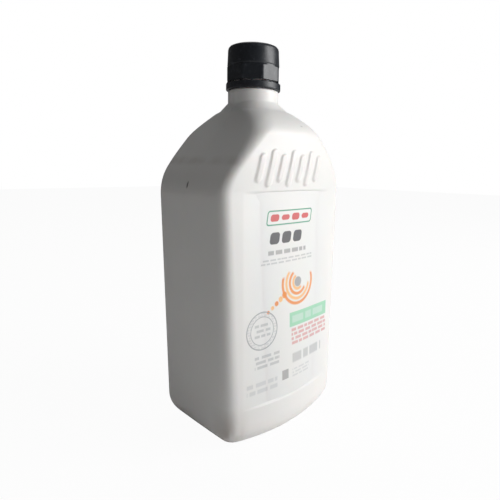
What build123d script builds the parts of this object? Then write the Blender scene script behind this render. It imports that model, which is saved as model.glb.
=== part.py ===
"""Motor oil bottle: a blow-moulded shell, its screw cap, the liner in the cap and the tamper band.

Millimetres, +Z up. The origin is the centre of the base, on the surface that the bottle stands on.
The label panels face -Y and +Y, and the narrow sides with the mould seams face -X and +X.
"""

import os
from math import asin, cos, pi, radians, sin, sqrt

from build123d import *

# Whole bottle
HEIGHT = 230.0
WALL = 0.9
BASE_HALF_WIDTH = 45.3
WIDTH_FLARE = 0.025
BASE_HALF_DEPTH = 39.2
DEPTH_TAPER = 0.030
BASE_BULGE = 5.6
BULGE_TAPER = 0.018
SIDE_BULGE = 0.2
BASE_CORNER = 10.0
CORNER_TAPER = 0.026

# Rounding into the base, and the push-up under it
BASE_ROUND = 15.5
BASE_CORNER_MIN = 3.0
PUSH_UP = 3.5
PUSH_UP_INSET = 21.0
PUSH_UP_DRAFT = 3.0

# Shoulder: two roof slopes, one over the narrow sides and one over the label sides
SHOULDER_START = 140.0
SHOULDER_END = 198.0
SIDE_ROOF_AT = 150.3
SIDE_ROOF_SLOPE = 0.812
LABEL_ROOF_AT = 182.0
LABEL_ROOF_SLOPE = 1.44
SIDE_EAVES = 7.0
LABEL_EAVES = 9.0
NECK_FILLET = 8.0
ROUNDING_START, ROUNDING_END = 146.0, 195.0
CORNER_POWER = 4.0
LABEL_SWELL = 2.0
SWELL_START, SWELL_END = 142.0, 166.0
SHOULDER_SECTIONS = 11

# Recessed label panels, flatter than the faces that they are let into
PANEL_BOTTOM = 25.0
PANEL_TOP = 146.0
PANEL_HALF_WIDTH = 36.0
PANEL_DEPTH_BOTTOM = 1.3
PANEL_DEPTH_TOP = 1.7
PANEL_REACH = 60.0

# Neck and its finish
NECK_RADIUS = 15.3
NECK_ROOT = 188.0
NECK_SHELF = 204.2
BAND_SEAT_RADIUS = 13.7
BAND_BEAD_RADIUS = 14.2
BAND_BEAD_LOW, BAND_BEAD_HIGH = 207.2, 208.2
FINISH_RADIUS = 13.4
NECK_BORE_RADIUS = 11.4
NECK_RIM = 226.4
RIM_ROUND = 0.5

# Tamper band with the stubs of its bridges
BAND_OUTER, BAND_INNER = 16.5, 14.5
BAND_LOW, BAND_HIGH = 204.6, 208.5
STUB_COUNT = 16
STUB_SIZE = 0.9
STUB_RISE = 0.4

# Cap and liner
CAP_LOW = 209.3
SKIRT_TOP = 218.6
SKIRT_SIDES = 8
SKIRT_FLAT = 15.4
SKIRT_CORNER = 16.5
CROWN_LOW_RADIUS, CROWN_TOP_RADIUS = 15.7, 15.3
CROWN_ROUND = 2.2
CAP_BORE = 14.6
CAP_CEILING = 228.3
LINER_RADIUS = 14.2
LINER_LOW, LINER_HIGH = 226.7, 228.2


def smooth_min(first, second, reach):
    """The lower of two values, rounded off where they come within reach of each other."""
    share = min(max(0.5 + 0.5 * (second - first) / reach, 0.0), 1.0)
    return second + (first - second) * share - reach * share * (1.0 - share)


def roofed(wall, z, roof_at, roof_slope, eaves):
    """A wall's distance from the axis at height z: up the wall, over the eaves, down the roof to the neck."""
    roof = wall - roof_slope * (z - roof_at)
    return -smooth_min(-smooth_min(wall, roof, eaves), -NECK_RADIUS, NECK_FILLET)


def body_size(z, inset=0.0):
    """Half width, half depth, bulge of the label faces and corner radius at height z, all set in by inset."""
    rise = min(max((z - ROUNDING_START) / (ROUNDING_END - ROUNDING_START), 0.0), 1.0)
    swell = min(max((z - SWELL_START) / (SWELL_END - SWELL_START), 0.0), 1.0)
    wide, deep = BASE_HALF_WIDTH + WIDTH_FLARE * z, BASE_HALF_DEPTH - DEPTH_TAPER * z
    deep += LABEL_SWELL * swell * swell * (3.0 - 2.0 * swell)
    bulge, corner = BASE_BULGE - BULGE_TAPER * z, BASE_CORNER - CORNER_TAPER * z
    if z > SHOULDER_START:
        wide = roofed(wide, z, SIDE_ROOF_AT, SIDE_ROOF_SLOPE, SIDE_EAVES)
        deep = roofed(deep, z, LABEL_ROOF_AT, LABEL_ROOF_SLOPE, LABEL_EAVES)
        corner += (0.94 * min(wide, deep) - corner) * rise**CORNER_POWER
    if z < BASE_ROUND:
        tuck = BASE_ROUND - sqrt(BASE_ROUND**2 - (BASE_ROUND - z) ** 2)
        inset += tuck
        corner = max(corner - tuck / 2, BASE_CORNER_MIN)
    return wide - inset, deep - inset, bulge * (1.0 - rise) + 0.05, max(corner - min(inset, WALL), 1.0)


def outline(z, size):
    """Closed outline at height z: bulged label faces, almost flat sides and four tangent corner arcs."""
    wide, deep, bulge, corner = size
    a, b = wide - corner - SIDE_BULGE, deep - corner - bulge
    if a < SIDE_BULGE or b < 0.1:
        raise ValueError(f"outline at {z} has no straight part")
    lean_label = asin(2 * a * bulge / (a * a + bulge * bulge))
    lean_side = asin(2 * b * SIDE_BULGE / (b * b + SIDE_BULGE * SIDE_BULGE))
    quarter = []
    for turn in (lean_side, (lean_side + pi / 2 - lean_label) / 2, pi / 2 - lean_label):
        quarter.append((a + corner * cos(turn), b + corner * sin(turn)))
    east, north = (wide, 0), (0, deep)
    first, middle, last = quarter
    ring = [east, first, middle, last, north]
    ring += [(-x, y) for x, y in (last, middle, first)] + [(-wide, 0)]
    ring += [(-x, -y) for x, y in (first, middle, last)] + [(0, -deep)]
    ring += [(x, -y) for x, y in (last, middle, first)]
    points = [Vector(x, y, z) for x, y in ring]
    starts = range(1, len(points), 2)
    return Wire([Edge.make_three_point_arc(points[i], points[(i + 1) % 16], points[(i + 2) % 16]) for i in starts])


def panel_cutter(side, inset):
    """The space in front of one label panel: from the panel's shallow arc out past the bottle's face."""
    wires = []
    for z, depth in ((PANEL_BOTTOM - inset, PANEL_DEPTH_BOTTOM), (PANEL_TOP + inset, PANEL_DEPTH_TOP)):
        wide, deep, bulge, corner = body_size(z)
        chord = wide - corner - SIDE_BULGE
        face_radius = (chord**2 + bulge**2) / (2 * bulge) + corner
        drop = face_radius - sqrt(face_radius**2 - PANEL_HALF_WIDTH**2)
        sag = drop - depth
        panel_radius = (PANEL_HALF_WIDTH**2 + sag**2) / (2 * sag)
        apex = deep - depth - inset
        end = apex - (panel_radius - sqrt(panel_radius**2 - PANEL_REACH**2))
        low, high = Vector(-PANEL_REACH, side * end, z), Vector(PANEL_REACH, side * end, z)
        arc = Edge.make_three_point_arc(low, Vector(0, side * apex, z), high)
        out_low, out_high = Vector(-PANEL_REACH, side * PANEL_REACH, z), Vector(PANEL_REACH, side * PANEL_REACH, z)
        sides = [Edge.make_line(high, out_high), Edge.make_line(out_high, out_low), Edge.make_line(out_low, low)]
        wires.append(Wire([arc] + sides))
    return Solid.make_loft(wires, ruled=True)


def envelope(inset):
    """The bottle's body from base to neck as one solid, set in by inset on every side."""
    floor = inset
    turns = [radians(turn) for turn in (90, 72, 54, 36, 18, 0)]
    base_heights = [floor + (BASE_ROUND - floor) * (1 - sin(turn)) for turn in turns]
    step = (SHOULDER_END - SHOULDER_START) / (SHOULDER_SECTIONS - 1)
    shoulder_heights = [SHOULDER_START + step * i for i in range(SHOULDER_SECTIONS)]
    spans = (
        (base_heights, False),
        ([BASE_ROUND, SHOULDER_START], True),
        (shoulder_heights, False),
    )
    solid = None
    for heights, ruled in spans:
        span = Solid.make_loft([outline(z, body_size(z, inset)) for z in heights], ruled=ruled)
        solid = span if solid is None else solid.fuse(span)
    for side in (-1, 1):
        solid -= panel_cutter(side, inset)
    return solid


def push_up(grow):
    """The hollow pressed up into the base, grown by the wall where it is cut out of the inside."""
    wires = []
    for z, draft in ((-1.0, 0.0), (PUSH_UP + grow, PUSH_UP_DRAFT)):
        wide, deep, bulge, corner = body_size(BASE_ROUND)
        inset = PUSH_UP_INSET - BASE_CORNER_MIN + draft - grow
        wires.append(outline(z, (wide - inset, deep - inset, bulge / 2, BASE_CORNER_MIN)))
    return Solid.make_loft(wires, ruled=True)


def turned(points):
    """A solid of revolution from a closed list of (radius, height) corners."""
    profile = Polyline(*[(radius, 0, z) for radius, z in points], close=True)
    return revolve(make_face(profile), Axis.Z)


def neck(inner):
    """The neck and its finish, or the bore through them."""
    if inner:
        corners = [
            (0, NECK_ROOT),
            (NECK_RADIUS - WALL, NECK_ROOT),
            (NECK_RADIUS - WALL, NECK_SHELF - 2 * WALL),
            (NECK_BORE_RADIUS, NECK_SHELF),
            (NECK_BORE_RADIUS, NECK_RIM + 1),
            (0, NECK_RIM + 1),
        ]
    else:
        corners = [
            (0, NECK_ROOT),
            (NECK_RADIUS, NECK_ROOT),
            (NECK_RADIUS, NECK_SHELF),
            (BAND_SEAT_RADIUS, NECK_SHELF),
            (BAND_SEAT_RADIUS, BAND_BEAD_LOW),
            (BAND_BEAD_RADIUS, BAND_BEAD_LOW),
            (FINISH_RADIUS, BAND_BEAD_HIGH),
            (FINISH_RADIUS, NECK_RIM - RIM_ROUND),
            (FINISH_RADIUS - RIM_ROUND, NECK_RIM),
            (0, NECK_RIM),
        ]
    return turned(corners)


def make_bottle():
    outside = envelope(0.0) + neck(inner=False) - push_up(0.0)
    inside = envelope(WALL) + neck(inner=True) - push_up(WALL)
    return outside - inside


def make_cap():
    crown = turned([(0, SKIRT_TOP), (CROWN_LOW_RADIUS, SKIRT_TOP), (CROWN_TOP_RADIUS, HEIGHT), (0, HEIGHT)])
    crown = fillet(crown.edges().filter_by(GeomType.CIRCLE).sort_by(Axis.Z)[-1], CROWN_ROUND)
    prism = RegularPolygon(SKIRT_FLAT, SKIRT_SIDES, major_radius=False, rotation=180 / SKIRT_SIDES)
    skirt = Pos(0, 0, CAP_LOW) * extrude(prism, SKIRT_TOP - CAP_LOW)
    lift = SKIRT_CORNER - SKIRT_FLAT
    rounder = turned(
        [
            (0, CAP_LOW),
            (SKIRT_CORNER, CAP_LOW),
            (SKIRT_CORNER, SKIRT_TOP - lift),
            (SKIRT_FLAT, SKIRT_TOP),
            (0, SKIRT_TOP),
        ]
    )
    bore = Pos(0, 0, CAP_LOW) * extrude(Circle(CAP_BORE), CAP_CEILING - CAP_LOW)
    return crown + (skirt & rounder) - bore


def make_liner():
    return Pos(0, 0, LINER_LOW) * extrude(Circle(LINER_RADIUS), LINER_HIGH - LINER_LOW)


def make_band():
    ring = Pos(0, 0, BAND_LOW) * extrude(Circle(BAND_OUTER) - Circle(BAND_INNER), BAND_HIGH - BAND_LOW)
    middle = (BAND_OUTER + BAND_INNER) / 2
    for i in range(STUB_COUNT):
        stub = Box(STUB_SIZE, STUB_SIZE, STUB_RISE * 2)
        ring += Rot(0, 0, 360 / STUB_COUNT * i) * Pos(middle, 0, BAND_HIGH) * stub
    return ring


os.makedirs("parts", exist_ok=True)
for name, make in {
    "bottle": make_bottle,
    "cap": make_cap,
    "cap_liner": make_liner,
    "tamper_band": make_band,
}.items():
    export_step(make(), f"parts/{name}.step")
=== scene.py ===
import bpy
import numpy as np
from mathutils import Matrix, Vector


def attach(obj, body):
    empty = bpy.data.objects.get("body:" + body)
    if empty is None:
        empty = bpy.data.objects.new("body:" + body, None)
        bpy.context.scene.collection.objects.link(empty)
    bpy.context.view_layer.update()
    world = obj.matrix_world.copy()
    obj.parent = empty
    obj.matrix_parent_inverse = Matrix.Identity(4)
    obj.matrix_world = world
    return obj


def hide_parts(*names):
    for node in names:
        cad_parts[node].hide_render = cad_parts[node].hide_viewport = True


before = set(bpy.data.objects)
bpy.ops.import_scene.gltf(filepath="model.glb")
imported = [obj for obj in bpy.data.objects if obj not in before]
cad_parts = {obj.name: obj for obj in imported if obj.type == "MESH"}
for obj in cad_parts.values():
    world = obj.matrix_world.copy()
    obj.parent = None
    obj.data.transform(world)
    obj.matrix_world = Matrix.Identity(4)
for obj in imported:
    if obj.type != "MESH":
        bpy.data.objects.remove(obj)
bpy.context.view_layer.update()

# ---------------------------------------------------------------- bottle
# One blow-moulded shell of white polyethylene, about 1 mm thick: a flared body with a flatter
# recessed panel on both broad faces, a roofed shoulder, and a short neck with its thread.
MM = 0.001  # the sizes in this file are in millimetres
HALF_WIDTH, WIDTH_FLARE = 45.3, 0.025
HALF_DEPTH, DEPTH_TAPER = 39.2, 0.030
BULGE, BULGE_TAPER, SIDE_BULGE, LEAST_BULGE = 5.6, 0.018, 0.2, 0.05
CORNER, CORNER_TAPER, CORNER_POWER, CORNER_MIN = 10.0, 0.026, 4, 3.0
ROUND_SHARE = 0.94  # the corners' radius at the neck, as a share of the half width there
BASE_ROUND = 15.5
SHOULDER_START, SHOULDER_END = 140.0, 198.0
ROUNDING_START, ROUNDING_END = 146.0, 195.0
LABEL_SWELL, SWELL_START, SWELL_END = 2.0, 142.0, 166.0
SIDE_ROOF, LABEL_ROOF = (150.3, 0.812, 7.0), (182.0, 1.44, 9.0)  # start, slope, eaves
NECK_RADIUS, NECK_FILLET, WALL = 15.3, 8.0, 0.9
COLUMNS = (7, 7, 55)  # steps of a quarter ring: side, corner, label face


def smooth_min(first, second, reach):
    """The lower of two arrays, rounded off with a parabola where they come within reach."""
    share = np.clip(0.5 + 0.5 * (second - first) / reach, 0, 1)
    return second + (first - second) * share - reach * share * (1 - share)


def smooth_step(low, high, value):
    """0 at low, 1 at high, and the S curve 3s^2 - 2s^3 between them."""
    share = np.clip((value - low) / (high - low), 0, 1)
    return share * share * (3 - 2 * share)


def roofed(wall, z, roof):
    """A wall's distance from the axis: up the wall, over the eaves, down the roof to the neck."""
    start, slope, eaves = roof
    down = wall - slope * (z - start)
    turned = np.where(z > SHOULDER_START, smooth_min(wall, down, eaves), wall)
    kept_out = -smooth_min(-turned, -NECK_RADIUS, NECK_FILLET)
    return np.where(z > SHOULDER_START, kept_out, wall)


def body_rings(z, inset):
    """Rings of the body at the heights z, set in by a wall. Each quarter is half a side arc, a
    corner arc and half a label arc, all tangent, and the other three quarters mirror it."""
    z = z[:, None]
    rise = np.clip((z - ROUNDING_START) / (ROUNDING_END - ROUNDING_START), 0, 1)
    swell = LABEL_SWELL * smooth_step(SWELL_START, SWELL_END, z)
    wide = roofed(HALF_WIDTH + WIDTH_FLARE * z, z, SIDE_ROOF)
    deep = roofed(HALF_DEPTH - DEPTH_TAPER * z + swell, z, LABEL_ROOF)
    bulge = (BULGE - BULGE_TAPER * z) * (1 - rise) + LEAST_BULGE
    corner = CORNER - CORNER_TAPER * z
    corner = corner + (ROUND_SHARE * np.minimum(wide, deep) - corner) * rise**CORNER_POWER
    tuck = BASE_ROUND - np.sqrt(BASE_ROUND**2 - np.clip(BASE_ROUND - z, 0, BASE_ROUND) ** 2)
    corner = np.where(z < BASE_ROUND, np.maximum(corner - tuck / 2, CORNER_MIN), corner) - inset
    wide, deep = wide - inset - tuck, deep - inset - tuck
    a, b = wide - corner - SIDE_BULGE, deep - corner - bulge
    side_radius = (b * b + SIDE_BULGE**2) / (2 * SIDE_BULGE) + corner
    label_radius = (a * a + bulge**2) / (2 * bulge) + corner
    side_lean = np.arcsin(b / (side_radius - corner))
    label_lean = np.arcsin(a / (label_radius - corner))
    steps = [np.arange(count) / count for count in COLUMNS]
    turn = side_lean * steps[0]
    side = wide - side_radius + side_radius * np.cos(turn), side_radius * np.sin(turn)
    turn = side_lean + (np.pi / 2 - label_lean - side_lean) * steps[1]
    bend = a + corner * np.cos(turn), b + corner * np.sin(turn)
    turn = label_lean * (1 - steps[2])
    label = label_radius * np.sin(turn), deep - label_radius + label_radius * np.cos(turn)
    middle = np.zeros_like(z), deep + 0 * z
    x, y = (np.concatenate(parts, axis=1) for parts in zip(side, bend, label, middle))
    x, y = np.concatenate([x, -x[:, -2::-1]], 1), np.concatenate([y, y[:, -2::-1]], 1)
    x, y = np.concatenate([x[:, :-1], -x[:, :-1]], 1), np.concatenate([y[:, :-1], -y[:, :-1]], 1)
    return x, y, z + 0 * x


PANEL_LOW, PANEL_HIGH, PANEL_HALF = 25.0, 146.0, 36.0
PANEL_DEPTH_LOW, PANEL_DEPTH_HIGH, PANEL_REACH = 1.3, 1.7, 20.0


def panel_recess(x, z):
    """How far the label panel lies behind the face: full in the middle, none at its sides, with
    a parabola between them, and a short S curve at its bottom and top."""
    along = np.clip((z - PANEL_LOW) / (PANEL_HIGH - PANEL_LOW), 0, 1)
    depth = PANEL_DEPTH_LOW + (PANEL_DEPTH_HIGH - PANEL_DEPTH_LOW) * along
    across = np.clip(1 - (x / PANEL_HALF) ** 2, 0, 1)
    bottom = smooth_step(PANEL_LOW - 0.6, PANEL_LOW + 0.9, z)
    window = bottom * (1 - smooth_step(PANEL_HIGH - 1.6, PANEL_HIGH + 0.4, z))
    return depth * across * window


RAISED_MIDDLE, RAISED_SHIFT, RAISED_SLANT, RAISED_REACH = 158.5, 3.0, 0.22, 26.0
RAISED_PITCH, RAISED_EACH_SIDE, RAISED_HEIGHT = 7.6, 3, 0.75
RAISED_HALF, RAISED_SHORTER = 8.0, 2.4  # half a long bar's spine, and how much less a short one's is
RAISED_TOP, RAISED_FOOT = 1.5, 2.6  # distance from the spine at which a bar is flat, and ends


def embossing(x, z):
    """Raised row of slanted round-ended bars across the shoulder, long and short by turns: an S
    curve of the distance to the nearest bar's spine."""
    slant = x + RAISED_SHIFT - RAISED_SLANT * (z - RAISED_MIDDLE)
    cell = np.round(slant / RAISED_PITCH)
    inside = np.abs(cell) <= RAISED_EACH_SIDE
    half = RAISED_HALF - RAISED_SHORTER * (cell % 2)
    beyond = np.maximum(np.abs(z - RAISED_MIDDLE) - half, 0)
    off = np.hypot(slant - cell * RAISED_PITCH, beyond)
    return RAISED_HEIGHT * (1 - smooth_step(RAISED_TOP, RAISED_FOOT, off)) * inside


THREAD_PITCH, THREAD_LOW, THREAD_HIGH, THREAD_FADE = 4.23, 211.5, 222.5, 1.5
THREAD_HEIGHT, THREAD_FOOT, THREAD_CREST = 0.85, 0.35, 0.95


def thread(angle, z):
    """Height of the thread's ridge at an angle and height: the top of a cosine that climbs one
    pitch a turn, faded at both ends of the helix."""
    wave = np.cos(2 * np.pi * (z / THREAD_PITCH) - angle)
    start = smooth_step(THREAD_LOW, THREAD_LOW + THREAD_FADE, z)
    ends = start * (1 - smooth_step(THREAD_HIGH - THREAD_FADE, THREAD_HIGH, z))
    return THREAD_HEIGHT * smooth_step(THREAD_FOOT, THREAD_CREST, wave) * ends


def ring_mesh(name, x, y, z, closed_ends=True):
    """A mesh of rings stacked in order, each joined to the next by quads, with the first and last
    shut by a fan round the ring's mean point."""
    rows, cols = x.shape
    points = np.stack([x, y, z], -1).reshape(-1, 3) * MM
    index = np.arange(rows * cols).reshape(rows, cols)
    lower, upper = index[:-1], index[1:]
    quads = np.stack([lower, np.roll(lower, -1, 1), np.roll(upper, -1, 1), upper], -1)
    faces = quads.reshape(-1, 4).tolist()
    if closed_ends:
        ends = np.array([[x[i].mean(), y[i].mean(), z[i].mean()] for i in (0, -1)]) * MM
        points = np.concatenate([points, ends])
        first, last = rows * cols, rows * cols + 1
        faces += [[first, b, a] for a, b in zip(index[0], np.roll(index[0], -1))]
        faces += [[last, a, b] for a, b in zip(index[-1], np.roll(index[-1], -1))]
    mesh = bpy.data.meshes.new(name)
    mesh.from_pydata(points.tolist(), [], faces)
    mesh.polygons.foreach_set("use_smooth", [True] * len(mesh.polygons))
    mesh.update()
    piece = bpy.data.objects.new(name, mesh)
    bpy.context.scene.collection.objects.link(piece)
    return piece


# Radius and height up the neck, over the rim and down the bore. The thread stands on the finish.
NECK = [(15.3, 199.5), (15.3, 201.5), (15.3, 203.6), (15.1, 204.0), (14.7, 204.2), (13.8, 204.2)]
NECK += [(13.7, 204.6), (13.7, 207.0), (14.2, 207.3), (14.2, 207.7), (13.5, 208.3), (13.4, 209.0)]
FINISH_RADIUS, FINISH_LOW, FINISH_HIGH, FINISH_RINGS = 13.4, 209.6, 225.4, 46
RIM = [(13.4, 225.9), (13.25, 226.25), (12.9, 226.4), (11.9, 226.4), (11.5, 226.2), (11.4, 225.8)]
BORE = [(11.4, 220.0), (11.4, 204.2), (14.4, 202.2), (14.4, 198.0)]
# Bands of body rings: lowest height, highest height and how many rings.
BODY_BANDS = [(BASE_ROUND, 23.6, 8), (23.6, 26.4, 10), (26.4, 143.0, 56), (143.0, 147.0, 12)]
BODY_BANDS += [(147.0, 172.0, 56)]
BASE_RINGS, TOP_BAND = 14, (172.0, SHOULDER_END, 40)
INSIDE_HEIGHTS = [192.0, 186, 180, 170, 160, 150, 140, 80, 16, 8, 4, 2.0, 1.4]
# Rings of the push-up under the base: share of the base's ring, and height.
PUSH_UP = [(0.60, 3.5), (0.7372, 3.4), (0.72, 1.2), (0.732, 0.0)]
FLOOR_SHARE = 0.7


def bottle_surface():
    """Outside rings from the base's middle to the rim, then inside rings from the bore to the
    floor. The base's heights follow a quarter circle, and the body's rings are drawn out to the
    neck's circle over the last stretch."""
    base = BASE_ROUND * (1 - np.sin(np.radians(np.linspace(90, 0, BASE_RINGS))))
    bands = [np.linspace(low, high, count)[:-1] for low, high, count in BODY_BANDS]
    heights = np.concatenate([base[:-1], *bands, np.linspace(*TOP_BAND)])
    x, y, z = body_rings(heights, 0.0)
    recess = panel_recess(x, z) * (np.abs(y) > PANEL_REACH)
    raised = embossing(x * np.sign(-y), z) * (np.abs(y) > RAISED_REACH)
    y = y - np.sign(y) * (recess - raised)
    around = np.arctan2(y[-1], x[-1])
    radius, angle = np.hypot(x, y), np.arctan2(y, x)
    radius = radius + (NECK_RADIUS - radius) * smooth_step(190, 197.5, z)
    x, y = radius * np.cos(angle), radius * np.sin(angle)
    finish = [(FINISH_RADIUS, at) for at in np.linspace(FINISH_LOW, FINISH_HIGH, FINISH_RINGS)]
    r, h = (np.array(values)[:, None] for values in zip(*NECK, *finish, *RIM, *BORE))
    on_finish = (r > 13) & (h > 209) & (h < 226)
    r = r + thread(around[None, :], h) * on_finish
    neck = r * np.cos(around), r * np.sin(around), h + 0 * r
    inner = body_rings(np.array(INSIDE_HEIGHTS), WALL)
    share, lift = (np.array(values)[:, None] for values in zip(*PUSH_UP))
    under = x[:1] * share, y[:1] * share, lift + 0 * x[:1]
    floor = inner[0][-1:] * FLOOR_SHARE, inner[1][-1:] * FLOOR_SHARE, lift[:1] + WALL + 0 * x[:1]
    stack = zip(under, (x, y, z), neck, inner, floor)
    return ring_mesh("bottle_shell", *(np.concatenate(parts) for parts in stack))


class Value:
    """One socket of a node tree. Sums on values add Math nodes."""

    def __init__(self, nodes, socket):
        self.nodes, self.socket = nodes, socket

    def maths(self, operation, other=0.0, swap=False):
        pair = (other, self) if swap else (self, other)
        return self.nodes.node("ShaderNodeMath", {"operation": operation}, dict(enumerate(pair)))

    def __add__(self, other):
        return self.maths("ADD", other)

    def __radd__(self, other):
        return self.maths("ADD", other, True)

    def __sub__(self, other):
        return self.maths("SUBTRACT", other)

    def __rsub__(self, other):
        return self.maths("SUBTRACT", other, True)

    def __mul__(self, other):
        return self.maths("MULTIPLY", other)

    def __rmul__(self, other):
        return self.maths("MULTIPLY", other, True)

    def __truediv__(self, other):
        return self.maths("DIVIDE", other)

    def __rtruediv__(self, other):
        return self.maths("DIVIDE", other, True)

    def least(self, other):
        return self.maths("MINIMUM", other)

    def most(self, other):
        return self.maths("MAXIMUM", other)

    def size(self):
        return self.maths("ABSOLUTE")

    def root(self):
        return self.maths("SQRT")

    def floor(self):
        return self.maths("FLOOR")

    def sine(self):
        return self.maths("SINE")

    def below(self, edge, soft):
        """1 where the value is under edge, 0 over it, and a straight ramp within soft of it."""
        values = {"Value": self, "From Min": edge - soft, "From Max": edge + soft}
        values |= {"To Min": 1.0, "To Max": 0.0}
        return self.nodes.node("ShaderNodeMapRange", {"clamp": True}, values)


class Nodes:
    """A node tree. node() adds a node from its type, its settings, and its sockets' values."""

    def __init__(self, tree):
        self.tree = tree

    def put(self, value, socket):
        if isinstance(value, Value):
            self.tree.links.new(value.socket, socket)
        else:
            socket.default_value = value

    def node(self, kind, settings, values, output=0):
        made = self.tree.nodes.new(kind)
        for setting, value in settings.items():
            setattr(made, setting, value)
        for key, value in values.items():
            self.put(value, made.inputs[key])
        return Value(self, made.outputs[output]) if made.outputs else None


class Paint(Nodes):
    """A material, with its shader's constants set on the shader's own sockets."""

    def __init__(self, name, colour, roughness, **constants):
        self.material = bpy.data.materials.new(name)
        self.material.use_nodes = True
        super().__init__(self.material.node_tree)
        self.shader = self.tree.nodes["Principled BSDF"]
        self.set("Base Color", (*colour, 1.0))
        self.set("Roughness", roughness)
        for socket, value in constants.items():
            self.set(socket.replace("_", " "), value)

    def set(self, socket, value):
        self.put(value, self.shader.inputs[socket])

    def where(self):
        """Object coordinates in metres, as one vector."""
        return self.node("ShaderNodeTexCoord", {}, {}, "Object")

    def place(self, where):
        """Object coordinates in millimetres, as three values."""
        return [self.node("ShaderNodeSeparateXYZ", {}, {0: where}, i) / MM for i in range(3)]

    def noise(self, where, scale, detail=3.0):
        values = {"Vector": where, "Scale": scale, "Detail": detail}
        return self.node("ShaderNodeTexNoise", {}, values)

    def mix(self, share, first, second):
        """A blend of two colours. A Mix node's colours are its sockets 6 and 7, and its output 2."""
        colours = [c if isinstance(c, Value) else (*c, 1.0) for c in (first, second)]
        values = {0: share, 6: colours[0], 7: colours[1]}
        return self.node("ShaderNodeMix", {"data_type": "RGBA"}, values, 2)

    def bump(self, height, strength, distance):
        values = {"Height": height, "Strength": strength, "Distance": distance}
        self.set("Normal", self.node("ShaderNodeBump", {}, values))


PLASTIC, OLD_PLASTIC = (0.83, 0.805, 0.785), (0.78, 0.75, 0.72)
EMERALD, PALE_GREEN, RED = (0.02, 0.30, 0.16), (0.33, 0.66, 0.45), (0.62, 0.06, 0.06)
ORANGE, AMBER, PAPER = (0.85, 0.28, 0.06), (0.93, 0.50, 0.20), (0.74, 0.78, 0.75)
CHARCOAL, GREY, FAINT = (0.05, 0.05, 0.06), (0.36, 0.36, 0.37), (0.55, 0.54, 0.55)
OIL, GRIME = (0.20, 0.13, 0.07), (0.05, 0.04, 0.03)
INK_EDGE, INK_COVER = 0.15, 0.9


def bar(x, z, left, right, low, high, round_off=0.0):
    """A printed rectangle with rounded corners, as a mask: the distance outside a smaller
    rectangle is under the corners' radius."""
    across = (x - (left + right) / 2).size() - ((right - left) / 2 - round_off)
    up = (z - (low + high) / 2).size() - ((high - low) / 2 - round_off)
    across, up = across.most(0.0), up.most(0.0)
    return (across * across + up * up).root().below(max(round_off, 0.01), INK_EDGE)


def lines(x, z, left, right, low, high, count, word, gap):
    """Lines of small print: stripes up the field, broken into words where the sum of two sine
    waves along each line is low. The gap is the unprinted share of a line's height."""
    row = (z - low) / ((high - low) / count)
    line = row.floor()
    stripe = ((row - line) - 0.5).size().below(0.5 - gap / 2, 0.08)
    wave = ((x * (6.28 / word)) + line * 2.4).sine() + ((x * (11.3 / word)) + line).sine()
    return bar(x, z, left, right, low, high) * stripe * (1.0 - wave.below(-0.9, 0.15))


def distance(x, z, at_x, at_z):
    """Distance over the label from a point on it."""
    off_x, off_z = x - at_x, z - at_z
    return (off_x * off_x + off_z * off_z).root()


def upper_print(x, z):
    """Masks and inks of the label's top: an outlined slanted badge with four bars in it, three
    slanted blocks, and lines of small print."""
    slant = x - (z - 100.0) * 0.18
    badge = bar(slant, z, -25.2, 12.0, 126.8, 135.2, 1.8)
    layers = [(badge - bar(slant, z, -24.5, 11.3, 127.5, 134.5, 1.3), EMERALD)]
    for i in range(4):
        left, shorter = -22.5 + 8.4 * i, 0.5 * (i % 2)
        layers.append((bar(slant, z, left, left + 6.4, 129.0 + shorter, 133.0 - shorter, 1.6), RED))
    for i in range(3):
        left = -21.0 + 9.2 * i
        layers.append((bar(slant, z, left, left + 7.2, 116.3, 122.9, 2.0), CHARCOAL))
    layers.append((lines(x, z, -18.8, 12.0, 109.8, 113.2, 1, 6.0, 0.3), CHARCOAL))
    layers.append((lines(x, z, -24.0, 18.0, 104.6, 108.4, 2, 5.0, 0.5), GREY))
    return layers


def middle_print(x, z):
    """Masks and inks of the artwork: four open arcs round a grey disc, each cut by a slanted
    line, and a trail of dots that grow smaller."""
    disc_x, disc_z = 5.0, 92.0
    reach = distance(x, z, disc_x, disc_z)
    layers = []
    for i in range(4):
        side = ((x - disc_x) * (1.5 - 0.5 * i) + (z - disc_z)).below(1.0 + i, 0.8)
        arc = (reach - (4.2 + 2.9 * i)).size().below(0.9, 0.3) * side
        layers.append((arc, ORANGE if i % 2 else AMBER))
    layers.append((reach.below(3.0, 0.3), GREY))
    for i in range(5):
        dot = distance(x, z, -6.5 - 3.1 * i, 86.0 - 2.0 * i).below(1.9 - 0.22 * i, 0.25)
        layers.append((dot, AMBER if i % 2 else ORANGE))
    return layers


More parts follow.
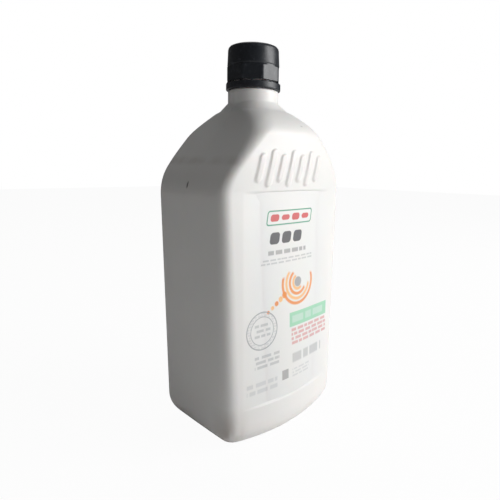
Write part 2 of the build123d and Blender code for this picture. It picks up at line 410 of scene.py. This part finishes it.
def lower_print(x, z):
    """Masks and inks of the label's foot: a speckled seal between two rings, a green bar, a dark
    square, and blocks of broken lines."""
    seal = distance(x, z, -23.2, 68.3)
    speckle = lines(x, z, -40.0, 0.0, 50.0, 90.0, 26, 4.0, 0.3)
    rings = (seal - 10.7).size().below(0.3, 0.15) + (seal - 8.0).size().below(0.2, 0.15)
    layers = [((seal - 9.4).size().below(1.1, 0.2) * speckle, FAINT), (rings, GREY)]
    layers.append((bar(x, z, -2.3, 34.6, 65.6, 74.2, 0.3), PALE_GREEN))
    layers.append((bar(x, z, -8.4, -3.4, 35.0, 40.6), CHARCOAL))
    # Left, right, low and high edge, number of lines, word length, gap, and ink.
    blocks = [
        (-28.5, -17.5, 64.0, 73.0, 3, 6.0, 0.50, GREY),
        (-28.4, -10.7, 46.0, 54.5, 3, 8.0, 0.42, GREY),
        (0.0, 31.0, 67.4, 72.4, 1, 12.0, 0.15, PAPER),
        (-0.6, 34.4, 54.0, 64.8, 4, 6.0, 0.36, RED),
        (0.2, 29.0, 42.6, 49.6, 1, 10.0, 0.20, GREY),
        (0.2, 16.0, 34.0, 40.0, 3, 6.0, 0.50, FAINT),
        (-33.7, -12.4, 31.6, 39.6, 2, 8.0, 0.40, FAINT),
    ]
    return layers + [(lines(x, z, *block), ink) for *block, ink in blocks]


def oiled(paint, colour, where, x, y, z):
    """The colour under oil: streaks at the base's front corner and down one edge of the shoulder,
    and three dark specks."""
    stretched = paint.node("ShaderNodeMapping", {}, {0: where, "Scale": (60.0, 60.0, 14.0)})
    streaks = paint.noise(stretched, 1.0)
    corner = (x + 43.0).size().below(6.0, 5.0) * (y + 30.0).size().below(7.0, 6.0)
    stain = (corner * z.below(16.0, 12.0) * streaks.below(0.52, 0.06)).least(1.0)
    drip = (x + 41.0).size().below(2.2, 1.6) * (z - 172.0).size().below(9.0, 4.0)
    drip = drip * streaks.below(0.5, 0.08) * 0.5
    colour = paint.mix((stain * 0.65 + drip).least(1.0), colour, OIL)
    # Where each speck is, and its size.
    specks = [(-49.0, 0.5, 149.0, 1.3), (-42.0, -22.0, 172.0, 0.8), (8.0, -33.0, 184.0, 0.8)]
    for *at, size in specks:
        off_x, off_y, off_z = (part - middle for part, middle in zip((x, y, z), at))
        away = (off_x * off_x * 0.3 + off_y * off_y * 3.0 + off_z * off_z * 0.35).root()
        colour = paint.mix(away.below(size, 0.4) * 0.85, colour, GRIME)
    return colour


def bottle_paint():
    """White plastic with a faint orange-peel and a parting line, the label printed on the front
    face, and oil stains over it."""
    constants = {"Specular_IOR_Level": 0.45, "Subsurface_Weight": 0.08, "Subsurface_Scale": 0.004}
    paint = Paint("bottle_plastic", PLASTIC, 0.42, **constants)
    where = paint.where()
    x, y, z = paint.place(where)
    front = y.below(-20.0, 0.2)
    colour = paint.mix(paint.noise(where, 30.0) * 0.25, PLASTIC, OLD_PLASTIC)
    for mask, ink in upper_print(x, z) + middle_print(x, z) + lower_print(x, z):
        colour = paint.mix((mask * front).least(1.0) * INK_COVER, colour, ink)
    paint.set("Base Color", oiled(paint, colour, where, x, y, z))
    paint.set("Roughness", paint.noise(where, 90.0) * 0.12 + 0.36)
    parting_line = y.size().below(0.35, 0.3)
    peel = paint.noise(where, 260.0) * 0.25 + paint.noise(where, 28.0) * 1.2
    paint.bump(peel + parting_line * 1.2, 0.35, 0.0003)
    return paint.material


bottle = bottle_surface()
bottle.data.materials.append(bottle_paint())
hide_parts("bottle")
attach(bottle, "bottle")

# ---------------------------------------------------------------- cap
# Black injection-moulded screw cap: a plain round crown over an eight-sided skirt, open below.
# Its finish is satin, with fine scuffs. The bore is left plain.
CROWN = [(0.5, 230.0), (8, 230.0), (12.8, 230.0), (13.6, 229.95), (14.4, 229.6), (15.0, 228.9)]
CROWN += [(15.3, 227.8), (15.42, 225), (15.55, 222), (15.7, 219.2), (15.66, 218.8)]
CAP_BORE = [(14.6, 209.4), (14.6, 213), (14.6, 218), (14.6, 224), (14.6, 227.8), (14.2, 228.3)]
CAP_BORE += [(7, 228.3), (0.5, 228.3)]
CAP_SIDES, CAP_STEPS = 8, 192
SKIRT_FLAT, SKIRT_CORNER, SKIRT_EASE = 15.4, 16.5, 0.5
SKIRT_LIP = [(209.6, 0.99), (209.4, 0.97), (209.3, 0.92)]  # height, and share of the flare
LIP_INSET = 0.25


def cap_surface():
    """Rings down the crown and the skirt, then up the bore. The skirt's radius is that of a polygon
    with eight sides, smoothed at its corners and faded into the crown's round at its top."""
    around = np.linspace(0, 2 * np.pi, CAP_STEPS, endpoint=False)
    half_side = np.pi / CAP_SIDES
    folded = (around + half_side) % (2 * half_side) - half_side
    polygon = smooth_min(SKIRT_FLAT / np.cos(folded), SKIRT_CORNER, SKIRT_EASE)
    fade, wall = np.linspace(218.5, 217.0, 8), np.linspace(216.0, 209.9, 8)
    lip_heights, lip_flare = zip(*SKIRT_LIP)
    heights = np.concatenate([fade, wall, lip_heights])
    flare = np.concatenate([smooth_step(218.7, 217.2, fade), np.ones_like(wall), lip_flare])
    skirt = SKIRT_FLAT + (polygon - SKIRT_FLAT) * flare[:, None]
    skirt[-1] -= LIP_INSET
    crown, bore = (np.array(profile)[:, :, None] + 0 * around for profile in (CROWN, CAP_BORE))
    r = np.concatenate([crown[:, 0], skirt, bore[:, 0]])
    z = np.concatenate([crown[:, 1], heights[:, None] + 0 * around, bore[:, 1]])
    return ring_mesh("cap_moulding", (r * np.cos(around))[::-1], (r * np.sin(around))[::-1], z[::-1])


BLACK, SCUFFED_BLACK = (0.012, 0.015, 0.02), (0.05, 0.055, 0.065)


def black_paint():
    """Satin black plastic with a fine grain and faint scuffs."""
    paint = Paint("black_plastic", BLACK, 0.36, Specular_IOR_Level=0.5)
    where = paint.where()
    scuff = paint.noise(where, 420.0).below(0.40, 0.05)
    paint.set("Base Color", paint.mix(scuff * 0.35, BLACK, SCUFFED_BLACK))
    paint.set("Roughness", paint.noise(where, 150.0) * 0.25 + 0.24)
    paint.bump(paint.noise(where, 900.0), 0.25, 0.0002)
    return paint.material


black = black_paint()
cap = cap_surface()
cap.data.materials.append(black)
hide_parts("cap")
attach(cap, "cap")

# ---------------------------------------------------------------- liner
# White foam disc pressed into the top of the cap, where it seals on the neck's rim.
# It is cut from sheet, with its edges slightly rounded.
LINER = [(0.5, 226.7), (13.6, 226.7), (14.1, 226.85), (14.2, 227.2), (14.2, 227.8), (14.1, 228.1)]
LINER += [(13.6, 228.2), (0.5, 228.2)]


def liner_surface():
    """The liner's profile of radius and height, turned about the upright axis."""
    around = np.linspace(0, 2 * np.pi, 128, endpoint=False)
    r, z = (np.array(values)[:, None] for values in zip(*LINER))
    return ring_mesh("liner_disc", r * np.cos(around), r * np.sin(around), z + 0 * r * around)


foam = Paint("liner_foam", (0.80, 0.79, 0.75), 0.75)
foam.bump(foam.noise(foam.where(), 1500.0), 0.3, 0.0002)
liner = liner_surface()
liner.data.materials.append(foam.material)
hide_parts("cap_liner")
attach(liner, "liner")

# ---------------------------------------------------------------- tamper band
# Black ring left on the neck, moulded with the cap. The stubs of its broken bridges stand on it.
# It stands loose round a bead on the neck.
BAND = [(14.6, 204.6), (16.2, 204.6), (16.45, 204.8), (16.5, 205.2), (16.5, 208.0), (16.4, 208.4)]
BAND += [(16.1, 208.5), (14.6, 208.5), (14.5, 208.3), (14.5, 204.8), (14.6, 204.6)]
BRIDGES, STUB_HEIGHT = 16, 0.4


def band_surface():
    """The band's profile closed round its ring, with the top raised in a stub at every bridge,
    where a cosine with one wave for each bridge is near its crest."""
    around = np.linspace(0, 2 * np.pi, 384, endpoint=False)
    r, z = (np.array(values)[:, None] for values in zip(*BAND))
    stub = np.cos(around * BRIDGES) > 0.86
    on_top = (z > 208.35) & (r > 14.9) & (r < 16.45)
    z = z + STUB_HEIGHT * stub[None, :] * on_top
    return ring_mesh("band_ring", r * np.cos(around), r * np.sin(around), z, closed_ends=False)


band = band_surface()
band.data.materials.append(black)
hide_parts("tamper_band")
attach(band, "bottle")

# ---------------------------------------------------------------- studio
# A pale floor that meets a white surround, one broad lamp from the front right, a weak one from
# above and behind, and a faint sky. The camera sees floor and sky as white.
SPREAD, FLOOR_GLOW, SKY_LIGHT = 3.0, 0.96, 0.10
PALE, WHITE = (0.9, 0.9, 0.9, 1.0), (1.0, 1.0, 1.0, 1.0)
corners = [(-SPREAD, -SPREAD, 0), (SPREAD, -SPREAD, 0), (SPREAD, SPREAD, 0), (-SPREAD, SPREAD, 0)]
floor_mesh = bpy.data.meshes.new("floor")
floor_mesh.from_pydata(corners, [], [(0, 1, 2, 3)])
floor = bpy.data.objects.new("floor", floor_mesh)
bpy.context.scene.collection.objects.link(floor)


def floor_paint():
    """A pale matt floor that the camera sees as nearly white: a glow mixed in on camera rays."""
    material = bpy.data.materials.new("floor_white")
    material.use_nodes = True
    material.node_tree.nodes.clear()
    paint = Nodes(material.node_tree)
    seen = paint.node("ShaderNodeLightPath", {}, {}, "Is Camera Ray")
    matt = paint.node("ShaderNodeBsdfDiffuse", {}, {"Color": PALE})
    glow = paint.node("ShaderNodeEmission", {}, {})
    blend = paint.node("ShaderNodeMixShader", {}, {0: seen * FLOOR_GLOW, 1: matt, 2: glow})
    paint.node("ShaderNodeOutputMaterial", {}, {0: blend})
    return material


floor_mesh.materials.append(floor_paint())

world = bpy.data.worlds.new("sky")
bpy.context.scene.world = world
world.use_nodes = True
sky = Nodes(world.node_tree)
backdrop = world.node_tree.nodes["Background"]
sky_seen = sky.node("ShaderNodeLightPath", {}, {}, "Is Camera Ray")
levels = {"Value": sky_seen, "To Min": SKY_LIGHT, "To Max": 1.0}
sky.put(sky.node("ShaderNodeMapRange", {}, levels), backdrop.inputs["Strength"])
sky.put(WHITE, backdrop.inputs["Color"])

LAMP_DISTANCE, LAMP_TARGET = 1.2, Vector((0, 0, 0.11))


def lamp(name, towards, size, power):
    """An area lamp that shines on the bottle's middle from the given direction."""
    light = bpy.data.lights.new(name, "AREA")
    light.size, light.energy = size, power
    piece = bpy.data.objects.new(name, light)
    direction = Vector(towards).normalized()
    turned = direction.to_track_quat("Z", "Y").to_matrix().to_4x4()
    piece.matrix_world = Matrix.Translation(direction * LAMP_DISTANCE + LAMP_TARGET) @ turned
    bpy.context.scene.collection.objects.link(piece)


lamp("key", (0.75, -1.0, 0.45), 0.8, 15.0)
lamp("rim", (0.3, 0.3, 1.0), 0.6, 2.5)

# The camera stands front left, a little above the shoulder, and looks slightly down.
YAW, PITCH, ROLL = np.radians([-45.02, 7.45, 0.88])
CENTRE, DISTANCE, ACROSS, UP = Vector((0, 0, 0.115)), 0.2804, 0.01283, 0.00684
SENSOR, FOCAL_SHARE, SHIFT = 36.0, 0.8818, (-0.044, -0.048)
back = Vector((np.sin(YAW) * np.cos(PITCH), -np.cos(YAW) * np.cos(PITCH), np.sin(PITCH)))
right = Vector((0, 0, 1)).cross(back).normalized()
rolled = Matrix.Rotation(ROLL, 3, back)
right, up = rolled @ right, rolled @ back.cross(right)
camera_data = bpy.data.cameras.new("camera")
camera_data.sensor_width = SENSOR
camera_data.lens = FOCAL_SHARE * SENSOR
camera_data.shift_x, camera_data.shift_y = SHIFT
camera_data.clip_start = 0.01
camera = bpy.data.objects.new("camera", camera_data)
bpy.context.scene.collection.objects.link(camera)
stand = CENTRE + back * DISTANCE + right * ACROSS + up * UP
camera.matrix_world = Matrix.Translation(stand) @ Matrix((right, up, back)).transposed().to_4x4()
bpy.context.scene.camera = camera
bpy.context.scene.view_settings.view_transform = "Standard"
